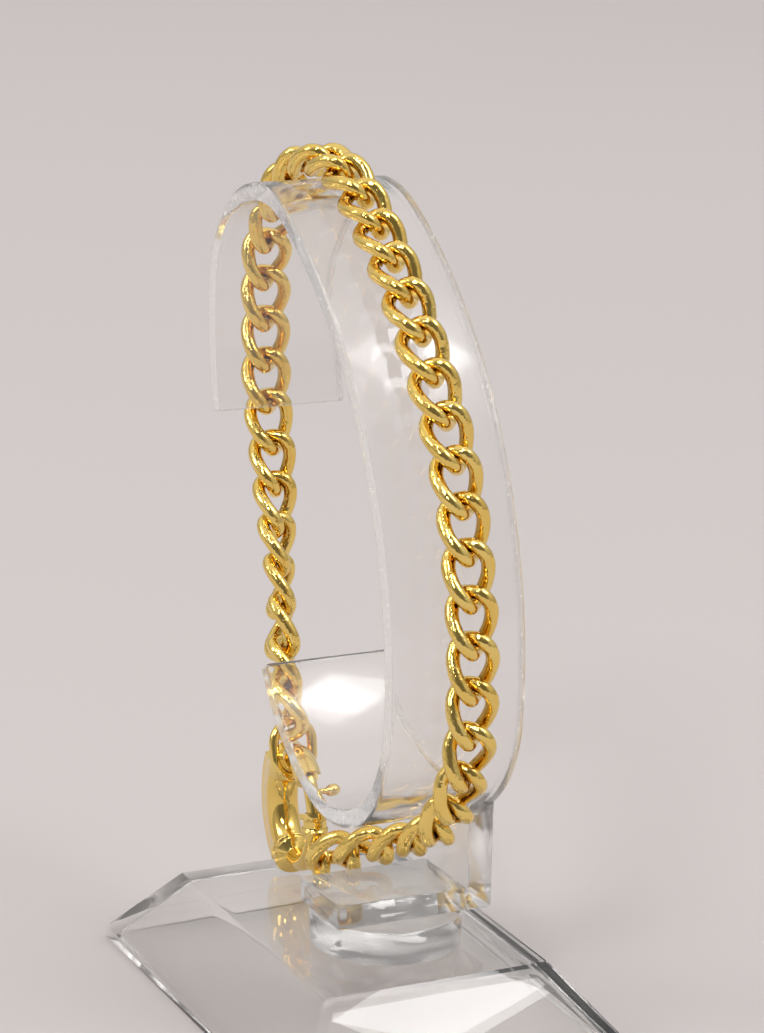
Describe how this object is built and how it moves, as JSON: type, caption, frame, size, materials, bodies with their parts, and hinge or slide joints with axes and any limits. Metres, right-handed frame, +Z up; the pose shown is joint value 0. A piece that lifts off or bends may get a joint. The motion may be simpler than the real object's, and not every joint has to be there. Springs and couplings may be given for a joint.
{
  "type": "link bracelet on display stand",
  "caption": "Polished gold curb-link bracelet with a bolt ring clasp, fastened round a clear C-shaped cuff on a bevelled stand.",
  "frame": {"origin": "centre of the stand base's underside", "axes": "+X from the back to the front of the cuff's curve, +Y across the cuff's strip, +Z up"},
  "size_m": [0.0612, 0.0386, 0.0898],
  "materials": {
    "clear_acrylic": "clear cast acrylic, polished, with fine scuffs",
    "clasp_gold": "polished yellow gold",
    "link_gold": "polished yellow gold, slightly dented"
  },
  "bodies": {
    "stand_and_bracelet": {"base": "clear_acrylic", "foot": "clear_acrylic", "bracket_plate": "clear_acrylic", "post": "clear_acrylic", "cuff": "clear_acrylic", "clasp_ring": "clasp_gold", "end_ring": "link_gold", "link_01": "link_gold", "link_02": "link_gold", "link_03": "link_gold", "link_04": "link_gold", "link_05": "link_gold", "link_06": "link_gold", "link_07": "link_gold", "link_08": "link_gold", "link_09": "link_gold", "link_10": "link_gold", "link_11": "link_gold", "link_12": "link_gold", "link_13": "link_gold", "link_14": "link_gold", "link_15": "link_gold", "link_16": "link_gold", "link_17": "link_gold", "link_18": "link_gold", "link_19": "link_gold", "link_20": "link_gold", "link_21": "link_gold", "link_22": "link_gold", "link_23": "link_gold", "link_24": "link_gold", "link_25": "link_gold", "link_26": "link_gold", "link_27": "link_gold", "link_28": "link_gold", "link_29": "link_gold", "link_30": "link_gold", "link_31": "link_gold", "link_32": "link_gold", "link_33": "link_gold", "link_34": "link_gold", "link_35": "link_gold", "link_36": "link_gold", "link_37": "link_gold", "link_38": "link_gold"},
    "bolt": {"clasp_bolt": "clasp_gold"}
  },
  "joints": [
    {"name": "bolt_slide", "type": "hinge", "parent": "stand_and_bracelet", "child": "bolt", "pos_m": [-0.0127, -0.0016, 0.01706], "axis": [-0.1045, -0.9945, 0], "range_deg": [0, 40], "stiffness_Nm_per_rad": 0.003, "springref_deg": -11.46}
  ]
}
